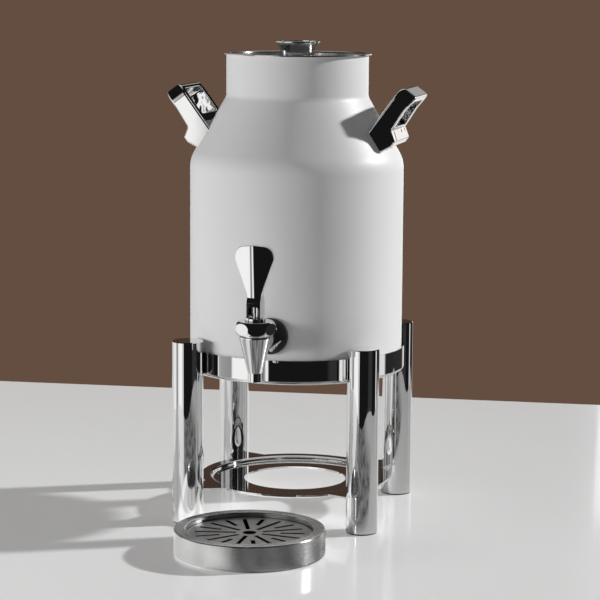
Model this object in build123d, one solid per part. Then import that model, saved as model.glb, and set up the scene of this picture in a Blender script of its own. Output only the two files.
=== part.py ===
from build123d import *
from math import asin, atan2, cos, degrees, radians, sin, sqrt, tan
import os

# Beverage urn on a four-post stand, with a lever faucet and a drip tray.
# Millimetres. The origin is on the urn's axis at table level, +Z is up, the faucet points to -Y.

# Fits
fit = 0.05                      # gap of a fixed joint, each side
running_fit = 0.05              # gap of a turning or sliding joint, each side
lift_gap = 0.3                  # gap beside a piece that lifts out, past the bend

# Vessel
body_radius = 117.5
body_height = 230.0             # base to the corner where side and shoulder meet
shoulder_rise = 68.6            # height of the sloping part
neck_radius = 77.9
neck_height = 45.5
vessel_wall = 1.5
base_bend = 6.0                 # bends are inside radii
shoulder_bend = 34.0
neck_bend = 10.0

# Stand
ring_height = 26.5
ring_drop = 13.5                # leg tops to the ring's top edge
ring_wall = 2.0
ring_clearance = 1.0            # between vessel and ring
ring_ledge = 16.0
ring_bend = 2.0
leg_height = 200.0
leg_radius = 17.1
leg_wall = 2.0
leg_bearings = (45, 135, 225, 315)
saddle_depth = 0.4              # how far the ring beds into each leg
cap_height = 3.0
cap_edge = 0.8
plug_length = 8.0
foot_height = 1.5
foot_inset = 1.0
ring_screw_radius = 2.5
ring_screw_head = 4.4
ring_screw_length = 9.0
ring_screw_drop = 11.0          # below the ring's top edge

# Burner shelf, the lower ring
shelf_height = 37.2
shelf_radius = 105.5
shelf_wall = 2.0
well_radius = 92.4
well_depth = 4.5
shelf_hole_radius = 57.0
shelf_bend = 1.2
tab_root = 46.0
tab_tip = 24.0
tab_overlap = 6.0               # of tab and ring

# Handles
handle_up = 21.5                # shoulder's lower corner to the middle of the handle's foot
handle_angle = 53.7             # from the horizontal
handle_length = 60.4
handle_root = 20.0              # length inside the vessel before the foot is cut to fit
handle_back = 21.2              # upper face, square to the arm's line through the foot
handle_end = 19.5               # thickness at the end
handle_waist = 17.9             # thickness at the thinnest place
handle_waist_place = 40.5       # along the arm
handle_heel = 15.8              # along the arm, where the foot begins
handle_foot = 8.6               # foot's reach below the arm's line
handle_foot_length = 13.5
handle_under = 26.0             # slope of the foot's underside to the arm
handle_width = 85.0
handle_round = 17.0             # loop's corners, seen from the front
handle_round_over = 1.5         # how far past the end the corners would close
handle_side = 11.5              # width of the bar beside the window
handle_grip = 8.0               # width of the bar across the end
window_length = 33.0
window_corner = 5.0
window_edge = 1.2
handle_end_round = 6.0
handle_waist_round = 30.0
handle_corner = 2.5
handle_edge = 2.0
handle_screw_radius = 3.0
handle_screw_spacing = 58.0
handle_screw_depth = 9.0
screw_head_radius = 5.0
screw_head_height = 3.5
washer_radius = 7.5
washer_height = 2.0

# Faucet
faucet_height = 50.5            # vessel base to the shank's axis
faucet_reach = 63.0             # vessel side to the spout's axis
shank_radius = 9.5
shank_bore = 6.0
shank_inside = 18.0             # length inside the vessel
spigot_radius = 9.0
spigot_length = 10.0
hex_flats = 27.0
hex_length = 10.0
hex_turn = 10.0                 # hexagon's turn about the shank
gasket_radius = 19.3
gasket_thickness = 4.0
inner_gasket_radius = 16.0
inner_gasket_thickness = 3.0
nut_flats = 30.0
nut_length = 8.0
tail_radius = 11.5
spout_drop = 37.8               # shank axis to the spout's mouth
spout_tip_length = 9.2
spout_tip_radius = 7.7
spout_bore = 5.0
cup_radius = 16.8
cup_rise = 9.5                  # shank axis to the body's top
cup_band = 1.2
chamber_radius = 10.5
seat_drop = 6.5                 # shank axis to the valve seat
seal_thickness = 0.8
seal_radius = 16.3
bonnet_height = 15.5
bonnet_radius = 21.5
bonnet_foot_radius = 17.0
bonnet_top_radius = 18.0
bonnet_facets = 7
bonnet_facet_turn = 18.2        # first facet's bearing, from -Y towards +X
bonnet_facet_apothem = 19.3
bonnet_spigot = 4.0             # length below the cap
bonnet_roof = 10.5              # above the spring
collar_radius = 11.0
collar_height = 3.0

# Valve and lever
stem_radius = 4.0
stem_head_radius = 4.7
stem_head_rise = 5.0            # above the pivot
stem_head_drop = 7.0            # below the pivot
seat_cup_radius = 8.5
seat_cup_height = 6.5
seat_cup_socket = 4.5
spring_radius = 6.0
spring_wire = 1.0
spring_turns = 4.5
spring_bore = 7.5
lever_gap = 0.3                 # between lever foot and bonnet collar, at rest
pivot_rise = 12.0               # lever foot to the pivot
pivot_radius = 2.0
lever_heel = 5.5                # fulcrum in front of the pivot
fork_depth = 19.0
fork_rise = 2.0                 # centre of the round top above the pivot
fork_width = 14.6
fork_slot = 10.6
fork_wall = 2.0
fork_arch = 2.5
paddle_top = 65.0               # above the pivot
paddle_set = 4.0                # plate's front behind the fork's front
paddle_lean = 5.0               # forward, in degrees
paddle_width = 41.5
paddle_top_width = 37.4
paddle_arch = 2.0               # rise of the top edge at its middle
paddle_wide = 50.0              # height of the widest place above the pivot
paddle_neck = 12.5              # height of the neck above the pivot
paddle_root = 3.0               # height where the plate joins the fork
paddle_thickness = 8.0
paddle_crown_radius = 58.0
paddle_corner = 11.0
paddle_flare = 20.0
paddle_edge = 0.5

# Lid
lid_sheet = 1.2
lid_radius = 81.0
lid_depth = 9.0
lid_bend = 1.5
flange_bend = 0.75
knob_radius = 24.3
knob_waist = 18.4
knob_waist_height = 8.0         # straight part below the flare
knob_flare = 13.0
knob_rim = 1.3
knob_edge = 0.5
knob_dish = 0.6
knob_dish_radius = 21.0
knob_screw_radius = 3.0
knob_screw_depth = 12.0

# Drip tray
tray_radius = 78.5
tray_height = 27.6
tray_sheet = 1.2
tray_forward = 33.0             # tray centre in front of the spout's axis
tray_aside = 3.0                # tray centre to the right of the spout's axis
tray_rim_width = 12.5
tray_drop = 6.7                 # rim to the ledge under the grille
tray_ledge = 5.0
tray_base_bend = 2.0
tray_bend = 0.8
grille_sheet = 1.2
grille_slot = 4.5
grille_slot_pairs = 9
grille_slot_outer = 57.0
grille_long_inner = 14.0
grille_short_inner = 32.0
grille_hole_radius = 7.2

# Places worked out from the sizes above
ring_inner_radius = body_radius + ring_clearance
ring_outer_radius = ring_inner_radius + ring_wall
ring_top = leg_height - ring_drop
support_height = ring_top - ring_height
leg_circle_radius = ring_outer_radius + leg_radius - saddle_depth
vessel_base = support_height + ring_wall
shoulder_base = vessel_base + body_height
shoulder_run = body_radius - neck_radius
shoulder_angle = atan2(shoulder_rise, shoulder_run)
neck_base = shoulder_base + shoulder_rise
neck_top = neck_base + neck_height
shank_z = vessel_base + faucet_height
faucet_y = -(body_radius + faucet_reach)
gasket_y = -(body_radius + gasket_thickness)
hex_y = gasket_y - hex_length
nut_y = -(body_radius - vessel_wall - inner_gasket_thickness)
seat_z = shank_z - seat_drop
cup_top = shank_z + cup_rise
bonnet_base = cup_top + seal_thickness
bonnet_top = bonnet_base + bonnet_height
bonnet_ceiling = bonnet_top + collar_height - bonnet_roof
collar_top = bonnet_top + collar_height
pivot_z = collar_top + lever_gap + pivot_rise
fork_half = fork_depth / 2
lid_floor = neck_top - lid_depth
tray_y = faucet_y - tray_forward
grille_base = tray_height - tray_drop
on_end = (Align.CENTER, Align.CENTER, Align.MIN)


# Shared shapes

def disc(radius, low, high):
    """Upright cylinder on the Z axis between two heights."""
    return Pos(0, 0, low) * Cylinder(radius, high - low, align=on_end)


def rod(start, direction, radius, length):
    """Cylinder from a point along a direction."""
    return Plane(origin=start, z_dir=direction) * Cylinder(radius, length, align=on_end)


def along_shank(start_y, end_y, radius):
    """Cylinder on the shank's axis between two places."""
    return rod((0, start_y, shank_z), (0, 1, 0), radius, end_y - start_y)


def hexagon(start_y, length, flats, turn):
    """Hexagon bar along +Y at the shank's height."""
    section = RegularPolygon(flats / 2, 6, major_radius=False, rotation=turn)
    return Plane(origin=(0, start_y, shank_z), x_dir=(1, 0, 0), z_dir=(0, 1, 0)) * extrude(section, length)


def rounded(corners, radii):
    """Closed face with a radius at each corner, 0 for a sharp one."""
    return make_face(FilletPolyline(*corners, radius=radii, close=True))


def spun(section):
    """Solid turned about the Z axis from a face drawn as radius and height."""
    return revolve(Plane.XZ * section, Axis.Z)


def shifted(path, distance):
    """Corners of a path moved sideways, to the left of its direction."""
    points = [Vector(*point) for point in path]
    normals = []
    for start, end in zip(points, points[1:]):
        along = (end - start).normalized()
        normals.append(Vector(-along.Y, along.X))
    moved = [points[0] + normals[0] * distance]
    for corner, before, after in zip(points[1:], normals, normals[1:]):
        both = before + after
        moved.append(corner + both * (2 * distance / both.dot(both)))
    moved.append(points[-1] + normals[-1] * distance)
    return moved


def sheet(path, bends, thickness):
    """Section of bent sheet metal on the left of a path, with inside bend radii."""
    points = [Vector(*point) for point in path]
    near = []
    far = []
    for before, corner, after, bend in zip(points, points[1:], points[2:], bends):
        turns_left = (corner - before).cross(after - corner).Z > 0
        near.append(bend + thickness if turns_left else bend)
        far.append(bend if turns_left else bend + thickness)
    corners = points + shifted(path, thickness)[::-1]
    return rounded(corners, [0, *near, 0, 0, *far[::-1], 0])


def around(shape, bearings):
    """Copies of a shape turned about the Z axis, one for each bearing."""
    return [Rot(0, 0, bearing) * shape for bearing in bearings]


# Stand

ring_screw_z = ring_top - ring_screw_drop
screw_start = (ring_inner_radius, 0, ring_screw_z)


def ring_screw(gap):
    """Countersunk screw through the ring into a leg, at bearing 0, grown by a gap."""
    head = Cone(ring_screw_head + gap, ring_screw_radius + gap, ring_wall, align=on_end)
    shank = Cylinder(ring_screw_radius + gap, ring_screw_length + gap, align=on_end)
    return Plane(origin=screw_start, z_dir=(1, 0, 0)) * (head + shank)


def leg():
    tube = disc(leg_radius, foot_height, leg_height - cap_height)
    tube -= disc(leg_radius - leg_wall, 0, leg_height)
    saddle = disc(ring_outer_radius + fit, support_height - fit, ring_top + fit)
    return Pos(leg_circle_radius, 0, 0) * tube - saddle - ring_screw(fit)


def leg_cap():
    head = disc(leg_radius, leg_height - cap_height, leg_height)
    head = chamfer(head.edges().sort_by(Axis.Z)[-1], cap_edge)
    plug = disc(leg_radius - leg_wall - fit, leg_height - cap_height - plug_length, leg_height - cap_height)
    return Pos(leg_circle_radius, 0, 0) * (head + plug)


def foot_pad():
    pad = disc(leg_radius - foot_inset, 0, foot_height)
    plug = disc(leg_radius - leg_wall - fit, foot_height, foot_height + plug_length)
    return Pos(leg_circle_radius, 0, 0) * (pad + plug)


def support_ring():
    path = [
        (ring_inner_radius - ring_ledge, support_height),
        (ring_outer_radius, support_height),
        (ring_outer_radius, ring_top),
    ]
    ring = spun(sheet(path, [ring_bend], ring_wall))
    for hole in around(ring_screw(fit), leg_bearings):
        ring -= hole
    return ring


def burner_shelf():
    plate_under = shelf_height - shelf_wall
    wall_radius = well_radius + shelf_wall
    path = [
        (shelf_hole_radius, plate_under - well_depth),
        (wall_radius, plate_under - well_depth),
        (wall_radius, plate_under),
        (shelf_radius, plate_under),
    ]
    shelf = spun(sheet(path, [shelf_bend, shelf_bend], shelf_wall))
    root = shelf_radius - tab_overlap
    tip = leg_circle_radius - sqrt(leg_radius ** 2 - (tab_tip / 2) ** 2)
    outline = Polyline(
        (root, -tab_root / 2), (tip, -tab_tip / 2), (leg_circle_radius, -tab_tip / 2),
        (leg_circle_radius, tab_tip / 2), (tip, tab_tip / 2), (root, tab_root / 2), close=True,
    )
    tab = Pos(0, 0, plate_under) * extrude(make_face(outline), shelf_wall)
    tab -= Pos(leg_circle_radius, 0, 0) * disc(leg_radius + fit, 0, leg_height)
    for copy in around(tab, leg_bearings):
        shelf += copy
    return shelf


# Vessel

vessel_path = [
    (0, vessel_base), (body_radius, vessel_base), (body_radius, shoulder_base),
    (neck_radius, neck_base), (neck_radius, neck_top),
]
shoulder_normal = (sin(shoulder_angle), 0, cos(shoulder_angle))
foot_z = shoulder_base + handle_up
foot_radius = body_radius - handle_up / tan(shoulder_angle)
handle_turn = degrees(asin(handle_screw_spacing / 2 / foot_radius))
handle_screw_bearings = (handle_turn, -handle_turn, 180 + handle_turn, 180 - handle_turn)


def vessel_form(growth):
    """The vessel's outside as a filled shape, moved outward by the growth."""
    corners = [*shifted(vessel_path, -growth), (0, neck_top)]
    bends = [base_bend + vessel_wall + growth, shoulder_bend + vessel_wall + growth, neck_bend - growth]
    return spun(rounded(corners, [0, *bends, 0, 0]))


def through_shoulder(start, end, radius):
    """Cylinder on a handle screw's line at bearing 0, between two distances outside the shoulder."""
    foot = Vector(foot_radius, 0, foot_z)
    return rod(foot + Vector(shoulder_normal) * start, shoulder_normal, radius, end - start)


def vessel():
    shell = spun(sheet(vessel_path, [base_bend, shoulder_bend, neck_bend], vessel_wall))
    shell -= along_shank(-body_radius - vessel_wall, -body_radius + 2 * vessel_wall, shank_radius + fit)
    hole = through_shoulder(-2 * vessel_wall, vessel_wall, handle_screw_radius + fit)
    for copy in around(hole, handle_screw_bearings):
        shell -= copy
    return shell


def handle_screw():
    seat = -(vessel_wall + washer_height)
    shank = through_shoulder(seat, handle_screw_depth, handle_screw_radius)
    return shank + through_shoulder(seat - screw_head_height, seat, screw_head_radius)


def handle_washer():
    seat = -(vessel_wall + washer_height)
    ring = through_shoulder(seat, 0, washer_radius) - through_shoulder(seat, 0, handle_screw_radius + fit)
    return ring & vessel_form(-vessel_wall - fit)


def handle():
    """Cast loop handle at bearing 0: a side profile and a front outline cut from one block."""
    tilt = radians(handle_angle)
    foot = (foot_radius, 0, foot_z)
    profile_plane = Plane(origin=foot, x_dir=(cos(tilt), 0, sin(tilt)), z_dir=(0, -1, 0))
    outline_plane = Plane(origin=foot, x_dir=(0, 1, 0), z_dir=(sin(tilt), 0, -cos(tilt)))
    root = -handle_root
    deep = 2 * root
    lip = handle_back - handle_end
    toe = handle_heel - handle_foot_length
    under = (toe - deep) * tan(radians(handle_under)) - handle_foot
    profile = rounded(
        [
            (deep, handle_back), (handle_length, handle_back), (handle_length, lip),
            (handle_waist_place, handle_back - handle_waist), (handle_heel, lip),
            (handle_heel - handle_foot_length / 2, -handle_foot), (toe, -handle_foot), (deep, under),
        ],
        [0, handle_end_round, handle_corner, handle_waist_round] + [handle_corner] * 3 + [0],
    )

    def loop(low, high, half, low_round, high_round):
        """Prism across the arm between two places along it, with rounded corners."""
        corners = [(-half, low), (half, low), (half, high), (-half, high)]
        face = rounded(corners, [low_round, low_round, high_round, high_round])
        return outline_plane * extrude(face, handle_length, both=True)

    block = profile_plane * extrude(profile, handle_width, both=True)
    outline = loop(root, handle_length + handle_round_over, handle_width / 2, 0, handle_round)
    blank = block & outline
    blank = fillet(new_edges(block, outline, combined=blank), handle_edge)
    window_top = handle_length - handle_grip
    window_half = handle_width / 2 - handle_side
    window = loop(window_top - window_length, window_top, window_half, window_corner, window_corner)
    body = blank - window
    body = fillet(new_edges(blank, window, combined=body), window_edge)
    body -= vessel_form(fit)
    hole = through_shoulder(-vessel_wall, handle_screw_depth + fit, handle_screw_radius + fit)
    for copy in around(hole, handle_screw_bearings[:2]):
        body -= copy
    return body


# Faucet

def at_spout(shape):
    """Move a shape from the Z axis to the spout's axis."""
    return Pos(0, faucet_y, 0) * shape


def faucet_shank():
    inner_end = -(body_radius - vessel_wall - shank_inside)
    shank = along_shank(gasket_y, inner_end, shank_radius)
    shank += hexagon(hex_y, hex_length, hex_flats, hex_turn)
    shank += along_shank(hex_y - spigot_length, hex_y, spigot_radius)
    return shank - along_shank(hex_y - spigot_length, inner_end, shank_bore)


def outer_gasket():
    ring = along_shank(gasket_y, 0, gasket_radius) - along_shank(gasket_y, 0, shank_radius + fit)
    return ring - vessel_form(fit)


def inner_gasket():
    ring = along_shank(-body_radius, nut_y, inner_gasket_radius)
    ring -= along_shank(-body_radius, nut_y, shank_radius + fit)
    return ring & vessel_form(-vessel_wall - fit)


def shank_nut():
    nut = hexagon(nut_y, nut_length, nut_flats, 0)
    return nut - along_shank(nut_y, nut_y + nut_length, shank_radius + fit)


def faucet_body():
    mouth = shank_z - spout_drop
    outline = Polyline(
        (0, mouth), (spout_tip_radius, mouth), (spout_tip_radius, mouth + spout_tip_length),
        (cup_radius, cup_top - cup_band), (cup_radius, cup_top), (0, cup_top), close=True,
    )
    body = at_spout(spun(make_face(outline))) + along_shank(faucet_y, hex_y, tail_radius)
    body -= at_spout(disc(bonnet_radius, cup_top, bonnet_top) + disc(chamber_radius, seat_z, cup_top))
    body -= at_spout(disc(spout_bore, mouth, seat_z))
    body -= along_shank(hex_y - spigot_length, hex_y, spigot_radius + fit)
    return body - along_shank(faucet_y, hex_y, shank_bore)


def bonnet_seal():
    return at_spout(disc(seal_radius, cup_top, bonnet_base) - disc(chamber_radius, cup_top, bonnet_base))


def bonnet():
    belly = (bonnet_radius, bonnet_base + bonnet_height / 2)
    edge = ThreePointArc((bonnet_foot_radius, bonnet_base), belly, (bonnet_top_radius, bonnet_top))
    rest = Polyline(edge @ 1, (0, bonnet_top), (0, bonnet_base), edge @ 0)
    cap = spun(make_face(edge + rest))
    waste = Pos(bonnet_facet_apothem, 0, bonnet_base) * Box(
        bonnet_radius, 2 * bonnet_radius, bonnet_height, align=(Align.MIN, Align.CENTER, Align.MIN)
    )
    for number in range(bonnet_facets):
        cap -= Rot(0, 0, bonnet_facet_turn - 90 + number * 360 / bonnet_facets) * waste
    cap += disc(collar_radius, bonnet_top, collar_top)
    cap += disc(chamber_radius - fit, bonnet_base - bonnet_spigot, bonnet_base)
    cap -= disc(spring_bore, bonnet_base - bonnet_spigot, bonnet_ceiling)
    return at_spout(cap - disc(stem_radius + running_fit, bonnet_base, collar_top))


# Valve and lever

def valve_stem():
    foot = seat_z + seat_cup_height - seat_cup_socket
    stem = disc(stem_radius, foot, pivot_z)
    stem += disc(stem_head_radius, pivot_z - stem_head_drop, pivot_z + stem_head_rise)
    stem -= rod((-stem_head_radius, 0, pivot_z), (1, 0, 0), pivot_radius + running_fit, 2 * stem_head_radius)
    return at_spout(stem)


def seat_cup():
    top = seat_z + seat_cup_height
    return at_spout(disc(seat_cup_radius, seat_z, top) - disc(stem_radius + fit, top - seat_cup_socket, top))


def valve_spring():
    low = seat_z + seat_cup_height + fit + spring_wire / 2
    height = bonnet_ceiling - fit - spring_wire / 2 - low
    path = Pos(0, 0, low) * Helix(height / spring_turns, height, spring_radius)
    section = Plane(origin=path @ 0, z_dir=path % 0) * Circle(spring_wire / 2)
    return at_spout(sweep(section, path, is_frenet=True))


def pivot_pin():
    return rod((-fork_width / 2, faucet_y, pivot_z), (1, 0, 0), pivot_radius, fork_width)


def fork_blank():
    """Side outline of the lever's foot, about the pivot: round top, flat foot, rolling heel."""
    roll = asin((fork_half - lever_heel) / pivot_rise)

    def heel_point(angle):
        return (-lever_heel - pivot_rise * sin(angle), -pivot_rise * cos(angle))

    top = ThreePointArc((fork_half, fork_rise), (0, fork_rise + fork_half), (-fork_half, fork_rise))
    front = Line(top @ 1, heel_point(roll))
    heel = ThreePointArc(heel_point(roll), heel_point(roll / 2), heel_point(0))
    foot = Polyline(heel @ 1, (fork_half, -pivot_rise), top @ 0)
    return extrude(Plane.YZ * make_face(top + front + heel + foot), fork_width / 2, both=True)


def fork_pocket():
    """Room for the stem's head inside the fork, and the arched slot in its front."""
    half = fork_half - fork_wall
    low = -pivot_rise - fork_wall
    top = ThreePointArc((half, 0), (0, half), (-half, 0))
    rest = Polyline(top @ 1, (-half, low), (half, low), top @ 0)
    room = extrude(Plane.YZ * make_face(top + rest), fork_slot / 2, both=True)
    arch = rounded(
        [(-fork_slot / 2, low), (fork_slot / 2, low), (fork_slot / 2, 0), (-fork_slot / 2, 0)],
        [0, 0, fork_arch, fork_arch],
    )
    return room + extrude(Plane.XZ * arch, fork_depth)


def paddle():
    """Flared thumb plate with a crowned front."""
    half = paddle_width / 2
    neck = fork_width / 2
    corners = [
        (neck, paddle_root), (neck, paddle_neck), (half, paddle_wide),
        (paddle_top_width / 2, paddle_top - paddle_arch), (0, paddle_top),
    ]
    side = FilletPolyline(*corners, radius=[paddle_flare, paddle_corner, paddle_corner])
    outline = make_face(side + mirror(side, Plane.YZ) + Line((-neck, paddle_root), (neck, paddle_root)))
    front = paddle_set - fork_half
    plate = Pos(0, front + paddle_thickness, 0) * extrude(Plane.XZ * outline, paddle_thickness)
    crown = Pos(0, front + paddle_crown_radius, 0) * disc(paddle_crown_radius, paddle_root, paddle_top)
    body = plate & crown
    return fillet(new_edges(plate, crown, combined=body), paddle_edge)


def lever():
    body = fork_blank() + Rot(paddle_lean, 0, 0) * paddle()
    body -= fork_pocket()
    body -= rod((-fork_width, 0, 0), (1, 0, 0), pivot_radius + fit, 2 * fork_width)
    return Pos(0, faucet_y, pivot_z) * body


# Lid

def lid_pan():
    wall_radius = neck_radius - vessel_wall - flange_bend - lift_gap
    path = [(0, lid_floor), (wall_radius, lid_floor), (wall_radius, neck_top), (lid_radius, neck_top)]
    pan = spun(sheet(path, [lid_bend, flange_bend], lid_sheet))
    return pan - disc(knob_screw_radius + fit, lid_floor, lid_floor + lid_sheet)


def lid_knob():
    low = lid_floor + lid_sheet
    flare_z = low + knob_waist_height
    rim_z = flare_z + knob_flare
    overhang = knob_radius - knob_waist
    sweep_radius = (overhang ** 2 + knob_flare ** 2) / (2 * overhang)
    middle = asin(knob_flare / sweep_radius) / 2
    bend = ThreePointArc(
        (knob_waist, flare_z),
        (knob_waist + sweep_radius * (1 - cos(middle)), flare_z + sweep_radius * sin(middle)),
        (knob_radius, rim_z),
    )
    top = rim_z + knob_rim
    rest = Polyline(bend @ 1, (knob_radius, top), (0, top), (0, low), (knob_waist, low), bend @ 0)
    knob = spun(make_face(bend + rest))
    knob = fillet(knob.edges().group_by(Axis.Z)[-1], knob_edge)
    knob -= disc(knob_dish_radius, top - knob_dish, top)
    return knob - disc(knob_screw_radius + fit, low, low + knob_screw_depth + fit)


def knob_washer():
    return disc(washer_radius, lid_floor - washer_height, lid_floor) - disc(
        knob_screw_radius + fit, lid_floor - washer_height, lid_floor
    )


def knob_screw():
    seat = lid_floor - washer_height
    head = disc(screw_head_radius, seat - screw_head_height, seat)
    return head + disc(knob_screw_radius, seat, lid_floor + lid_sheet + knob_screw_depth)


# Drip tray

def at_tray(shape):
    """Move a shape from the Z axis to the tray's centre."""
    return Pos(tray_aside, tray_y, 0) * shape


def drip_tray():
    inner = tray_radius - tray_rim_width
    path = [
        (0, 0), (tray_radius, 0), (tray_radius, tray_height), (inner, tray_height),
        (inner, grille_base), (inner - tray_ledge, grille_base),
    ]
    return at_tray(spun(sheet(path, [tray_base_bend, tray_bend, tray_bend, tray_bend], tray_sheet)))


def drip_grille():
    radius = tray_radius - tray_rim_width - tray_bend - lift_gap
    plate = disc(radius, grille_base, grille_base + grille_sheet)
    plate -= disc(grille_hole_radius, grille_base, grille_base + grille_sheet)
    for number in range(2 * grille_slot_pairs):
        inner = grille_long_inner if number % 2 == 0 else grille_short_inner
        slot = Pos(inner, 0, grille_base) * Box(
            grille_slot_outer - inner, grille_slot, grille_sheet, align=(Align.MIN, Align.CENTER, Align.MIN)
        )
        plate -= Rot(0, 0, number * 180 / grille_slot_pairs - 90) * slot
    return at_tray(plate)


# All pieces, by name

leg_names = ("rear_right", "rear_left", "front_left", "front_right")
right_handle = handle()
nodes = {
    "support_ring": support_ring(),
    "burner_shelf": burner_shelf(),
    "ring_screws": Compound(children=around(ring_screw(0), leg_bearings)),
    "vessel": vessel(),
    "handle_right": right_handle,
    "handle_left": mirror(right_handle, Plane.YZ),
    "handle_screws": Compound(children=around(handle_screw(), handle_screw_bearings)),
    "handle_washers": Compound(children=around(handle_washer(), handle_screw_bearings)),
    "faucet_shank": faucet_shank(),
    "faucet_body": faucet_body(),
    "faucet_bonnet": bonnet(),
    "bonnet_seal": bonnet_seal(),
    "outer_gasket": outer_gasket(),
    "inner_gasket": inner_gasket(),
    "shank_nut": shank_nut(),
    "valve_stem": valve_stem(),
    "seat_cup": seat_cup(),
    "valve_spring": valve_spring(),
    "pivot_pin": pivot_pin(),
    "faucet_lever": lever(),
    "lid_pan": lid_pan(),
    "lid_knob": lid_knob(),
    "knob_washer": knob_washer(),
    "knob_screw": knob_screw(),
    "drip_tray": drip_tray(),
    "drip_grille": drip_grille(),
}
for leg_name, post, cap, pad in zip(
    leg_names, around(leg(), leg_bearings), around(leg_cap(), leg_bearings), around(foot_pad(), leg_bearings)
):
    nodes["leg_" + leg_name] = post
    nodes["leg_cap_" + leg_name] = cap
    nodes["foot_pad_" + leg_name] = pad

os.makedirs("parts", exist_ok=True)
for name, shape in nodes.items():
    export_step(shape, "parts/" + name + ".step")
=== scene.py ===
import math

import bpy
from mathutils import Matrix, Vector


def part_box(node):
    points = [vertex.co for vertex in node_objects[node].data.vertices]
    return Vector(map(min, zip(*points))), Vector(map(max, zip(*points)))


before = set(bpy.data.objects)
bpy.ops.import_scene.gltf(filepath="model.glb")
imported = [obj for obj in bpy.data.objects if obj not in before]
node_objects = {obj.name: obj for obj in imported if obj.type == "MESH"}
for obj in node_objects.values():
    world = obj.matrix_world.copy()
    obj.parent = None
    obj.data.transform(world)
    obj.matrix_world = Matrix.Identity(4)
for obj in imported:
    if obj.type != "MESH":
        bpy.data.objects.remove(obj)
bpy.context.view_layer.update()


# Camera: the photograph's view, worked out from the outlines of the object

VIEW_TURN = math.radians(13.407)        # camera's bearing from the urn's front, to the right
VIEW_PITCH = math.radians(8.390)
VIEW_YAW = math.radians(0.101)
VIEW_ROLL = math.radians(0.377)
VIEW_DISTANCE = 2.456632                # level distance from the urn's axis
VIEW_HEIGHT = 0.596760
VIEW_REACH = 100                        # how far the camera sees
SENSOR_WIDTH = 36.0
FOCAL_LENGTH = 134.0816

UP = Vector((0, 0, 1))
TO_CAMERA = Vector((math.sin(VIEW_TURN), -math.cos(VIEW_TURN), 0))
TO_RIGHT = Vector((math.cos(VIEW_TURN), math.sin(VIEW_TURN), 0))


def add_camera():
    ahead = -TO_CAMERA * math.cos(VIEW_YAW) + TO_RIGHT * math.sin(VIEW_YAW)
    right = TO_RIGHT * math.cos(VIEW_YAW) + TO_CAMERA * math.sin(VIEW_YAW)
    forward = ahead * math.cos(VIEW_PITCH) - UP * math.sin(VIEW_PITCH)
    above = UP * math.cos(VIEW_PITCH) + ahead * math.sin(VIEW_PITCH)
    x_axis = right * math.cos(VIEW_ROLL) + above * math.sin(VIEW_ROLL)
    y_axis = above * math.cos(VIEW_ROLL) - right * math.sin(VIEW_ROLL)
    turn = Matrix((x_axis, y_axis, -forward)).transposed().to_4x4()
    data = bpy.data.cameras.new("photo_camera")
    data.sensor_width = SENSOR_WIDTH
    data.lens = FOCAL_LENGTH
    data.clip_end = VIEW_REACH
    camera = bpy.data.objects.new("photo_camera", data)
    place = TO_CAMERA * VIEW_DISTANCE + UP * VIEW_HEIGHT
    camera.matrix_world = Matrix.Translation(place) @ turn
    bpy.context.scene.collection.objects.link(camera)
    bpy.context.scene.camera = camera


def toward(bearing, height):
    """Direction at a bearing to the right of the camera and a height above the level, both in degrees."""
    turn = math.radians(bearing)
    level = TO_CAMERA * math.cos(turn) + TO_RIGHT * math.sin(turn)
    tilt = math.radians(height)
    return level * math.cos(tilt) + UP * math.sin(tilt)


# Node helpers

MIX_FACTOR = 0                          # sockets of a mix of two colours
MIX_FIRST = 6
MIX_SECOND = 7
MIX_RESULT = 2
NOISE_MIDDLE = (0.3, 0.7)               # values between which most of a noise lies


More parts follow.
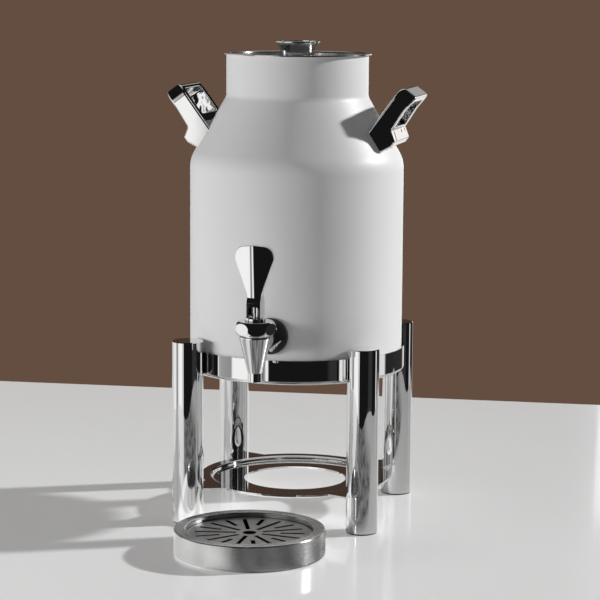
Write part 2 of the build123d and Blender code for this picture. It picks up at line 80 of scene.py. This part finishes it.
class Tree:
    """Short way to write a node tree."""

    def __init__(self, owner):
        owner.use_nodes = True
        self.tree = owner.node_tree
        self.tree.nodes.clear()

    def add(self, kind, inputs=(), **settings):
        node = self.tree.nodes.new(kind)
        for name, value in settings.items():
            setattr(node, name, value)
        for key, value in dict(inputs).items():
            self.feed(node.inputs[key], value)
        return node

    def feed(self, socket, value):
        if isinstance(value, bpy.types.NodeSocket):
            self.tree.links.new(value, socket)
        else:
            socket.default_value = value

    def math(self, operation, *values):
        return self.add("ShaderNodeMath", enumerate(values), operation=operation).outputs[0]

    def vector(self, operation, *values):
        """Vector worked out from vectors."""
        return self.add("ShaderNodeVectorMath", enumerate(values), operation=operation).outputs["Vector"]

    def measure(self, operation, *values):
        """Number worked out from vectors."""
        return self.add("ShaderNodeVectorMath", enumerate(values), operation=operation).outputs["Value"]

    def parts(self, vector):
        """X, Y and Z of a vector."""
        return self.add("ShaderNodeSeparateXYZ", {0: vector}).outputs

    def joined(self, x, y, z):
        return self.add("ShaderNodeCombineXYZ", {0: x, 1: y, 2: z}).outputs[0]

    def spread(self, value, low, high, to_low, to_high):
        """Value moved from one range to another, held at the ends."""
        inputs = {"Value": value, "From Min": low, "From Max": high, "To Min": to_low, "To Max": to_high}
        return self.add("ShaderNodeMapRange", inputs, clamp=True).outputs["Result"]

    def share(self, value, low, high):
        """How far a value is on the way from low to high, from 0 to 1."""
        return self.spread(value, low, high, 0.0, 1.0)

    def mix(self, factor, first, second):
        """Colour between two colours."""
        node = self.add("ShaderNodeMix", data_type="RGBA")
        self.feed(node.inputs[MIX_FACTOR], factor)
        self.feed(node.inputs[MIX_FIRST], first)
        self.feed(node.inputs[MIX_SECOND], second)
        return node.outputs[MIX_RESULT]

    def tones(self, factor, middle, reach, warmth=0.0):
        """Grey that goes from a little darker to a little lighter than a middle one."""
        return self.mix(factor, grey(middle - reach, warmth), grey(middle + reach, warmth))

    def noise(self, vector, scale, detail=2.0, roughness=0.5):
        inputs = {"Vector": vector, "Scale": scale, "Detail": detail, "Roughness": roughness}
        return self.add("ShaderNodeTexNoise", inputs).outputs["Fac"]

    def bump(self, height, strength, distance, normal=None):
        inputs = {"Height": height, "Strength": strength, "Distance": distance}
        if normal is not None:
            inputs["Normal"] = normal
        return self.add("ShaderNodeBump", inputs).outputs["Normal"]

    def place(self):
        """Coordinates in metres in the row frame at rest."""
        return self.add("ShaderNodeTexCoord").outputs["Object"]

    def face(self):
        """Direction in which the mesh's face looks."""
        return self.add("ShaderNodeNewGeometry").outputs["True Normal"]

    def from_axis(self, centre):
        """Level distances from an upright axis along X and Y, and the height."""
        x, y, z = self.parts(self.place())
        return self.math("SUBTRACT", x, centre[0]), self.math("SUBTRACT", y, centre[1]), z

    def radius(self, dx, dy):
        square = self.math("ADD", self.math("MULTIPLY", dx, dx), self.math("MULTIPLY", dy, dy))
        return self.math("SQRT", square)

    def surface(self, **inputs):
        named = {key.replace("_", " ").title(): value for key, value in inputs.items()}
        shader = self.add("ShaderNodeBsdfPrincipled", named)
        self.add("ShaderNodeOutputMaterial", {"Surface": shader.outputs[0]})


def material(name):
    return bpy.data.materials.new(name)


def grey(value, warmth=0.0):
    return (value * (1 + warmth), value, value * (1 - warmth), 1)


# White powder coat, and the plain steel inside the vessel

PAINT = 0.795
PAINT_REACH = 0.02
PAINT_GLOSS = (0.40, 0.50)
INNER_STEEL = 0.56
INNER_REACH = 0.06
INNER_WARMTH = 0.01
INNER_GLOSS = (0.22, 0.36)
INNER_FACING = -0.02                    # walls that look outward less than this are inside
FLOOR_FACING = 0.5                      # and so are faces that look up more than this,
FLOOR_BAND = 0.02                       # no higher than this above the vessel's base
URN_AXIS = (0, 0)


def white_coat():
    """Satin white powder coat outside, plain spun steel inside."""
    mat = material("white_powder_coat")
    tree = Tree(mat)
    place = tree.place()
    face = tree.face()
    outward = tree.vector("NORMALIZE", tree.vector("MULTIPLY", place, (1, 1, 0)))
    inner_wall = tree.math("LESS_THAN", tree.measure("DOT_PRODUCT", face, outward), INNER_FACING)
    looks_up = tree.math("GREATER_THAN", tree.parts(face)["Z"], FLOOR_FACING)
    low_down = tree.math("LESS_THAN", tree.parts(place)["Z"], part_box("vessel")[0].z + FLOOR_BAND)
    inside = tree.math("MAXIMUM", inner_wall, tree.math("MULTIPLY", looks_up, low_down))
    paint = tree.tones(tree.noise(place, scale=9, detail=3), PAINT, PAINT_REACH)
    dx, dy, height = tree.from_axis(URN_AXIS)
    rings = tree.noise(tree.joined(tree.radius(dx, dy), 0.0, height), scale=1400)
    steel = tree.tones(rings, INNER_STEEL, INNER_REACH, INNER_WARMTH)
    grain = tree.noise(place, scale=1500, roughness=0.6)
    satin = tree.spread(grain, *NOISE_MIDDLE, *PAINT_GLOSS)
    spun = tree.spread(rings, *NOISE_MIDDLE, *INNER_GLOSS)
    gloss = tree.math(
        "ADD",
        tree.math("MULTIPLY", inside, spun),
        tree.math("MULTIPLY", tree.math("SUBTRACT", 1.0, inside), satin),
    )
    peel = tree.bump(tree.noise(place, scale=620, roughness=0.55), strength=0.10, distance=0.0002)
    tone = tree.mix(inside, paint, steel)
    tree.surface(base_color=tone, metallic=inside, roughness=gloss, normal=peel)
    return mat


# Chrome

CHROME = 0.86
CHROME_REACH = 0.03
CHROME_WARMTH = 0.004
CHROME_HAZE = (0.42, 0.75)              # noise values between which the haze sets in
CHROME_WAVE = 0.03
CHROME_DEPTH = 0.0006
CAST_WAVES = 45                         # noise scales of the waves
TUBE_WAVES = 22
PLATE_WAVES = 26
CAST_GLOSS = (0.012, 0.03)
PLATE_GLOSS = (0.02, 0.05)
KNOB_GLOSS = (0.10, 0.15)
KNOB_TINT = 0.76
WINDOW_WAVES = 80                       # uneven walls in the handles' windows
WINDOW_WAVE = 0.34
WINDOW_DEPTH = 0.0020


def uneven(tree, place, middle, normal):
    """Normal with the waves of a rough casting on the faces that look at a middle."""
    outward = tree.vector("SUBTRACT", place, middle)
    looks_in = tree.math("LESS_THAN", tree.measure("DOT_PRODUCT", tree.face(), outward), 0.0)
    waves = tree.noise(place, WINDOW_WAVES, detail=1, roughness=0.4)
    return tree.bump(waves, tree.math("MULTIPLY", looks_in, WINDOW_WAVE), WINDOW_DEPTH, normal)


def chrome(name, wave_scale, gloss_range, tint=CHROME, middle=None):
    """Polished plate: clear reflections, a little haze in places, slow waves of a polished casting or tube.

    A middle is given for a loop, whose inner walls are left rough."""
    mat = material(name)
    tree = Tree(mat)
    place = tree.place()
    haze = tree.noise(place, scale=38, detail=4, roughness=0.6)
    tone = tree.tones(tree.noise(place, scale=16), tint, CHROME_REACH, CHROME_WARMTH)
    gloss = tree.spread(haze, *CHROME_HAZE, *gloss_range)
    waves = tree.noise(place, wave_scale, detail=1, roughness=0.4)
    normal = tree.bump(waves, CHROME_WAVE, CHROME_DEPTH)
    if middle is not None:
        normal = uneven(tree, place, middle, normal)
    tree.surface(base_color=tone, metallic=1.0, roughness=gloss, normal=normal)
    return mat


# Steel

STEEL_WARMTH = 0.008
SPUN_REACH = 0.03
SPUN_SCALE = 2200
SPUN_LENGTH = 0.002                     # how little the rings change round the axis
SPUN_SMEAR = 0.8
QUARTER_TURN = 0.25
LOOKS_UP = (0.5, 0.8)                   # upward part of a face's direction, where satin begins
TURNED_IN = 0.05                        # faces that look outward less than this can get painted shade
WELL_SHADE_TONE = 0.03
LID_STEEL = 0.60
LID_GLOSS = (0.16, 0.24)
LID_SATIN = 0.12
TRAY_STEEL = 0.72
TRAY_GLOSS = (0.23, 0.28)
TRAY_SATIN = 0.3
GRILLE_STEEL = 0.74
GRILLE_REACH = 0.06
GRILLE_GLOSS = (0.30, 0.42)
GRILLE_STRETCH = (0.03, 1, 0.2)         # of the grain's coordinates, which draws it out along X
CUT_EDGE_SHADE = 0.06
CUT_FACING = (0.2, 0.6)                 # upward part of a face's direction, where cut edges end


def spun_steel(name, centre, gloss_range, tint, satin, shade_below=-1.0):
    """Steel turned on a lathe: fine rings round an upright axis, which smear reflections across them.

    The satin value is the share of scattered light on faces that look up. Faces that look up or inward
    below a height, such as a well's, get a near-black painted shade."""
    mat = material(name)
    tree = Tree(mat)
    dx, dy, height = tree.from_axis(centre)
    across = tree.math("ADD", tree.radius(dx, dy), height)
    along = tree.math("MULTIPLY", tree.math("ARCTAN2", dy, dx), SPUN_LENGTH)
    grain = tree.noise(tree.joined(across, along, 0.0), SPUN_SCALE)
    tone = tree.tones(grain, tint, SPUN_REACH, STEEL_WARMTH)
    gloss = tree.spread(grain, *NOISE_MIDDLE, *gloss_range)
    outward = tree.vector("NORMALIZE", tree.joined(dx, dy, 0.0))
    face = tree.face()
    turned_in = tree.math("LESS_THAN", tree.measure("DOT_PRODUCT", face, outward), TURNED_IN)
    # painted shade: faces turned in below the given height, such as the well under the grille, are painted
    # near black
    well_shade = tree.math("MULTIPLY", turned_in, tree.math("LESS_THAN", height, shade_below))
    tree.surface(
        base_color=tree.mix(well_shade, tone, grey(WELL_SHADE_TONE)),
        metallic=tree.spread(tree.parts(face)["Z"], *LOOKS_UP, 1.0, 1.0 - satin),
        roughness=gloss,
        anisotropic=SPUN_SMEAR,
        anisotropic_rotation=QUARTER_TURN,
        tangent=tree.vector("CROSS_PRODUCT", UP, outward),
    )
    return mat


def straight_brushed(name, gloss_range, tint):
    """Flat steel brushed along X, with painted shade on its cut edges."""
    mat = material(name)
    tree = Tree(mat)
    grain_at = tree.vector("MULTIPLY", tree.place(), GRILLE_STRETCH)
    grain = tree.noise(grain_at, scale=3000, detail=3, roughness=0.6)
    tone = tree.tones(grain, tint, GRILLE_REACH, STEEL_WARMTH)
    gloss = tree.spread(grain, *NOISE_MIDDLE, *gloss_range)
    lines = tree.bump(grain, strength=0.06, distance=0.0001)
    # painted shade: faces that look up little, such as the slots' cut edges, are painted near black
    flat = tree.share(tree.parts(tree.face())["Z"], *CUT_FACING)
    tone = tree.mix(flat, grey(CUT_EDGE_SHADE), tone)
    tree.surface(base_color=tone, metallic=1.0, roughness=gloss, normal=lines)
    return mat


# Rubber and fasteners

RUBBER = 0.021
RUBBER_REACH = 0.007
RUBBER_GLOSS = (0.45, 0.62)
FASTENER = 0.53
FASTENER_REACH = 0.07
FASTENER_WARMTH = 0.01
FASTENER_GLOSS = (0.22, 0.38)


def rubber():
    mat = material("black_rubber")
    tree = Tree(mat)
    place = tree.place()
    tone = tree.tones(tree.noise(place, scale=60, detail=4, roughness=0.6), RUBBER, RUBBER_REACH)
    gloss = tree.spread(tree.noise(place, scale=900), *NOISE_MIDDLE, *RUBBER_GLOSS)
    skin = tree.bump(tree.noise(place, scale=1200), strength=0.15, distance=0.0001)
    tree.surface(base_color=tone, roughness=gloss, normal=skin)
    return mat


def hardware():
    mat = material("bright_fastener_steel")
    tree = Tree(mat)
    marks = tree.noise(tree.place(), scale=500, detail=3, roughness=0.6)
    tone = tree.tones(marks, FASTENER, FASTENER_REACH, FASTENER_WARMTH)
    gloss = tree.spread(marks, *NOISE_MIDDLE, *FASTENER_GLOSS)
    skin = tree.bump(marks, strength=0.08, distance=0.0001)
    tree.surface(base_color=tone, metallic=1.0, roughness=gloss, normal=skin)
    return mat


# Finish of each node

LEGS = ("rear_right", "rear_left", "front_left", "front_right")
HANDLES = ("handle_right", "handle_left")


def dress(finish, *names):
    for name in names:
        mesh = node_objects[name].data
        mesh.materials.clear()
        mesh.materials.append(finish)


def each_leg(piece):
    return [piece + leg for leg in LEGS]


tray_low, tray_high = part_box("drip_tray")
tray_centre = ((tray_low.x + tray_high.x) / 2, (tray_low.y + tray_high.y) / 2)
tray_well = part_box("drip_grille")[0].z
dress(white_coat(), "vessel")
dress(chrome("tube_chrome", TUBE_WAVES, PLATE_GLOSS), *each_leg("leg_"), *each_leg("leg_cap_"))
dress(chrome("plate_chrome", PLATE_WAVES, PLATE_GLOSS), "support_ring", "burner_shelf")
dress(
    chrome("cast_chrome", CAST_WAVES, CAST_GLOSS),
    "faucet_body", "faucet_shank", "faucet_bonnet", "faucet_lever", "valve_stem", "pivot_pin",
)
for handle in HANDLES:
    handle_low, handle_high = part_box(handle)
    handle_middle = (handle_low + handle_high) / 2
    dress(chrome(handle + "_chrome", CAST_WAVES, CAST_GLOSS, middle=handle_middle), handle)
dress(chrome("knob_chrome", CAST_WAVES, KNOB_GLOSS, KNOB_TINT), "lid_knob")
dress(spun_steel("lid_steel", URN_AXIS, LID_GLOSS, LID_STEEL, LID_SATIN), "lid_pan")
dress(spun_steel("tray_steel", tray_centre, TRAY_GLOSS, TRAY_STEEL, TRAY_SATIN, tray_well), "drip_tray")
dress(straight_brushed("grille_steel", GRILLE_GLOSS, GRILLE_STEEL), "drip_grille")
dress(
    rubber(),
    "outer_gasket", "inner_gasket", "bonnet_seal", "seat_cup", *each_leg("foot_pad_"),
)
dress(
    hardware(),
    "ring_screws", "handle_screws", "handle_washers", "shank_nut", "valve_spring",
    "knob_washer", "knob_screw",
)


# Stage: a pale table top

TABLE = 0.88
TABLE_REACH = 0.02
TABLE_GLOSS = (0.06, 0.10)
TABLE_TURN = math.radians(3.18)
TABLE_BACK = 0.67                       # edges, from the urn's axis
TABLE_FRONT = 0.68
TABLE_SIDE = 0.75
TABLE_CORNER = 0.45                     # radius of the front corners
CORNER_STEPS = 24
TABLE_PALENESS = 0.20                   # added where the table is looked at, not to the light on the urn
SHADE = 0.16                            # tone of the painted shade on the table, which only metal sees
SHADE_DEPTH = (-0.15, -0.10)            # where it ends toward the back
SHADE_SLANT = 0.30                      # forward, for each metre further right
SHADE_LEFT = (0.03, -0.10)              # its left side, by the tray and elsewhere
SHADE_RIGHT = (0.40, 0.65)              # where it fades on the right
SHADE_SOFT = 0.06
SHADE_LEAN = 0.28                       # leftward, for each metre further forward
SHADE_PATCHES = 18                      # noise scale, the values it is taken between, and what is left there
PATCH_NOISE = (0.38, 0.62)
PATCH_SHADE = (0.6, 1.0)
BY_TRAY = (0.15, 0.19)                  # distance from the tray's middle, between which that side changes
MIRRORED_PAINTED_GLOW = (0.55, 0.22)        # painted glow added in metal, left of the shade, by the tray and elsewhere


def add_table():
    corners = [(TABLE_SIDE, TABLE_BACK), (-TABLE_SIDE, TABLE_BACK)]
    for side, start in ((-1, 180), (1, 270)):
        for step in range(CORNER_STEPS + 1):
            turn = math.radians(start + 90 * step / CORNER_STEPS)
            across = side * (TABLE_SIDE - TABLE_CORNER) + TABLE_CORNER * math.cos(turn)
            corners.append((across, TABLE_CORNER - TABLE_FRONT + TABLE_CORNER * math.sin(turn)))
    mesh = bpy.data.meshes.new("table")
    mesh.from_pydata([(x, y, 0) for x, y in corners], [], [range(len(corners))])
    mesh.materials.append(pale_table())
    table = bpy.data.objects.new("table", mesh)
    table.rotation_euler.z = TABLE_TURN
    bpy.context.scene.collection.objects.link(table)


def pale_table():
    """Pale lacquer, on which metal sees a painted shade in front of the urn and a painted glow on the left.
    """
    mat = material("pale_table")
    tree = Tree(mat)
    place = tree.place()
    rays = tree.add("ShaderNodeLightPath").outputs
    mirrored = rays["Is Glossy Ray"]
    x, y, _ = tree.parts(place)
    tray_at = Matrix.Rotation(-TABLE_TURN, 3, "Z") @ Vector((*tray_centre, 0))
    elsewhere = tree.share(tree.measure("DISTANCE", place, tray_at), *BY_TRAY)
    across = tree.math("SUBTRACT", x, tree.math("MULTIPLY", y, SHADE_LEAN))
    edge = tree.spread(elsewhere, 0.0, 1.0, *SHADE_LEFT)
    past_edge = tree.share(tree.math("SUBTRACT", across, edge), 0.0, SHADE_SOFT)
    depth = tree.math("ADD", y, tree.math("MULTIPLY", x, SHADE_SLANT))
    shade = tree.math("MULTIPLY", past_edge, tree.spread(across, *SHADE_RIGHT, 1.0, 0.0))
    shade = tree.math("MULTIPLY", shade, tree.spread(depth, *SHADE_DEPTH, 1.0, 0.0))
    patches = tree.spread(tree.noise(place, SHADE_PATCHES), *PATCH_NOISE, *PATCH_SHADE)
    shade = tree.math("MULTIPLY", shade, patches)
    tone = tree.tones(tree.noise(place, scale=3), TABLE, TABLE_REACH)
    # painted shade: in metal's reflections the table turns dark in front of the urn, in noisy patches
    tone = tree.mix(tree.math("MULTIPLY", mirrored, shade), tone, grey(SHADE))
    gloss = tree.spread(tree.noise(place, scale=8, detail=3), *NOISE_MIDDLE, *TABLE_GLOSS)
    # painted light: a glow on the table that only metal sees, left of the shade, stronger by the tray
    lit = tree.spread(elsewhere, 0.0, 1.0, *MIRRORED_PAINTED_GLOW)
    lit = tree.math("MULTIPLY", tree.math("SUBTRACT", 1.0, past_edge), lit)
    glow = tree.math("MULTIPLY", rays["Is Camera Ray"], TABLE_PALENESS)
    glow = tree.math("ADD", glow, tree.math("MULTIPLY", mirrored, lit))
    tree.surface(base_color=tone, roughness=gloss, emission_color=grey(1.0), emission_strength=glow)
    return mat


# Lamps

MIDDLE = Vector((0, 0, 0.26))           # of the urn and its stand
KEY_STRENGTH = 3.2
KEY_WIDTH = math.radians(3.0)
KEY_BEARING = 102
KEY_HEIGHT = 27
KEY_DISTANCE = 3.0


def hang(name, data, bearing, height, distance, mirrored):
    """Put a lamp at a distance from the urn's middle, facing it."""
    lamp = bpy.data.objects.new(name, data)
    direction = toward(bearing, height)
    lamp.location = MIDDLE + direction * distance
    lamp.rotation_euler = direction.to_track_quat("Z", "Y").to_euler()
    lamp.visible_camera = False
    lamp.visible_glossy = mirrored
    bpy.context.scene.collection.objects.link(lamp)


def add_key():
    """Light from a far lamp on the right."""
    data = bpy.data.lights.new("key", "SUN")
    data.energy = KEY_STRENGTH
    data.angle = KEY_WIDTH
    hang("key", data, KEY_BEARING, KEY_HEIGHT, KEY_DISTANCE, mirrored=True)


def add_panel(name, width, tall, watts, bearing, height, distance, mirrored):
    """Soft lamp with a flat face."""
    data = bpy.data.lights.new(name, "AREA")
    data.shape = "RECTANGLE"
    data.size = width
    data.size_y = tall
    data.energy = watts
    hang(name, data, bearing, height, distance, mirrored)


# World: the room round the object

WALL = (0.125, 0.076, 0.052, 1)
DARK = grey(0.008)
ROOM = (
    # bearing to the right of the camera in degrees, colour
    (-180, WALL),
    (-166, WALL),
    (-158, grey(0.40)),
    (-112, grey(0.90)),
    (-92, grey(0.92)),
    (-90.5, grey(0.42)),
    (-82, grey(0.34)),
    (-71.5, grey(0.30)),
    (-70, grey(1.0)),
    (-36.2, grey(1.0)),
    (-35.5, grey(0.24)),
    (-32.5, grey(0.24)),
    (-31.8, grey(1.0)),
    (-29.4, grey(1.0)),
    (-28.6, DARK),
    (33, DARK),
    (36, grey(0.03)),
    (62, grey(0.035)),
    (66, DARK),
    (98, DARK),
    (99, grey(0.80)),
    (108, grey(0.80)),
    (110, grey(0.02)),
    (150, grey(0.03)),
    (158, WALL),
    (163, grey(0.85)),
    (171, grey(0.85)),
    (173, WALL),
    (180, WALL),
)
WALL_DIMS = (0.10, 0.11)                # sines of the heights between which the walls turn darker
WALL_DIMNESS = 0.58
WALL_TOP = 0.20                         # sine of the height where the dark above the walls begins
WALL_TOP_BEHIND = 0.34                  # the same, straight behind the urn
WALL_TOP_AHEAD = 0.26                   # and on the camera's side
TOP_SOFT = 0.02
BEHIND = (-0.94, -0.92)                 # part of a direction toward the camera, where straight behind ends
AHEAD = (-0.6, -0.4)                    # and where the camera's side begins
CEILING = grey(0.55)                    # a pale panel above, further back than the urn
CEILING_TILT = math.radians(30)         # of its middle, back from straight up
CEILING_EDGE = (0.82, 0.90)             # cosines of the angles from its middle between which it begins
SOFT_LIGHT = grey(0.27)
SOFT_ABOVE = grey(0.05)
SOFT_TOP = (0.0, 0.7)                   # sines of the heights between which the soft light falls off


def room_colours(tree, bearing):
    """Colours of the walls round the object."""
    ramp = tree.add("ShaderNodeValToRGB", {0: tree.share(bearing, -math.pi, math.pi)})
    stops = ramp.color_ramp.elements
    given = len(stops)
    for index, (degrees, colour) in enumerate(ROOM):
        position = (degrees + 180) / 360
        stop = stops[index] if index < given else stops.new(position)
        stop.position = position
        stop.color = colour
    return ramp.outputs[0]


def add_world():
    """Soft even light; the camera sees a plain wall, and metal sees a dark room with a bright left side."""
    world = bpy.data.worlds.new("studio")
    bpy.context.scene.world = world
    tree = Tree(world)
    direction = tree.add("ShaderNodeTexCoord").outputs["Generated"]
    height = tree.parts(direction)["Z"]
    ahead = tree.measure("DOT_PRODUCT", direction, TO_CAMERA)
    aside = tree.measure("DOT_PRODUCT", direction, TO_RIGHT)
    walls = room_colours(tree, tree.math("ARCTAN2", aside, ahead))
    top = tree.math(
        "MAXIMUM",
        tree.spread(ahead, *BEHIND, WALL_TOP_BEHIND, WALL_TOP),
        tree.spread(ahead, *AHEAD, WALL_TOP, WALL_TOP_AHEAD),
    )
    above = tree.share(tree.math("SUBTRACT", height, top), 0.0, TOP_SOFT)
    dim = tree.spread(height, *WALL_DIMS, 0.0, WALL_DIMNESS)
    room = tree.mix(tree.math("MAXIMUM", dim, above), walls, DARK)
    ceiling_way = UP * math.cos(CEILING_TILT) - TO_CAMERA * math.sin(CEILING_TILT)
    nearness = tree.measure("DOT_PRODUCT", direction, ceiling_way)
    room = tree.mix(tree.share(nearness, *CEILING_EDGE), room, CEILING)
    soft = tree.mix(tree.share(height, *SOFT_TOP), SOFT_LIGHT, SOFT_ABOVE)
    rays = tree.add("ShaderNodeLightPath").outputs
    mirrored = tree.math("MAXIMUM", rays["Is Glossy Ray"], rays["Is Transmission Ray"])
    seen = tree.mix(mirrored, soft, room)
    seen = tree.mix(rays["Is Camera Ray"], seen, WALL)
    background = tree.add("ShaderNodeBackground", {"Color": seen})
    tree.add("ShaderNodeOutputWorld", {"Surface": background.outputs[0]})


add_camera()
add_table()
add_world()
add_key()
add_panel("fill", width=1.3, tall=0.5, watts=38, bearing=-68, height=1, distance=2.6, mirrored=False)
add_panel("rear_card", width=1.6, tall=0.5, watts=2.2, bearing=147, height=3, distance=2.5, mirrored=True)
bpy.context.scene.view_settings.view_transform = "Standard"
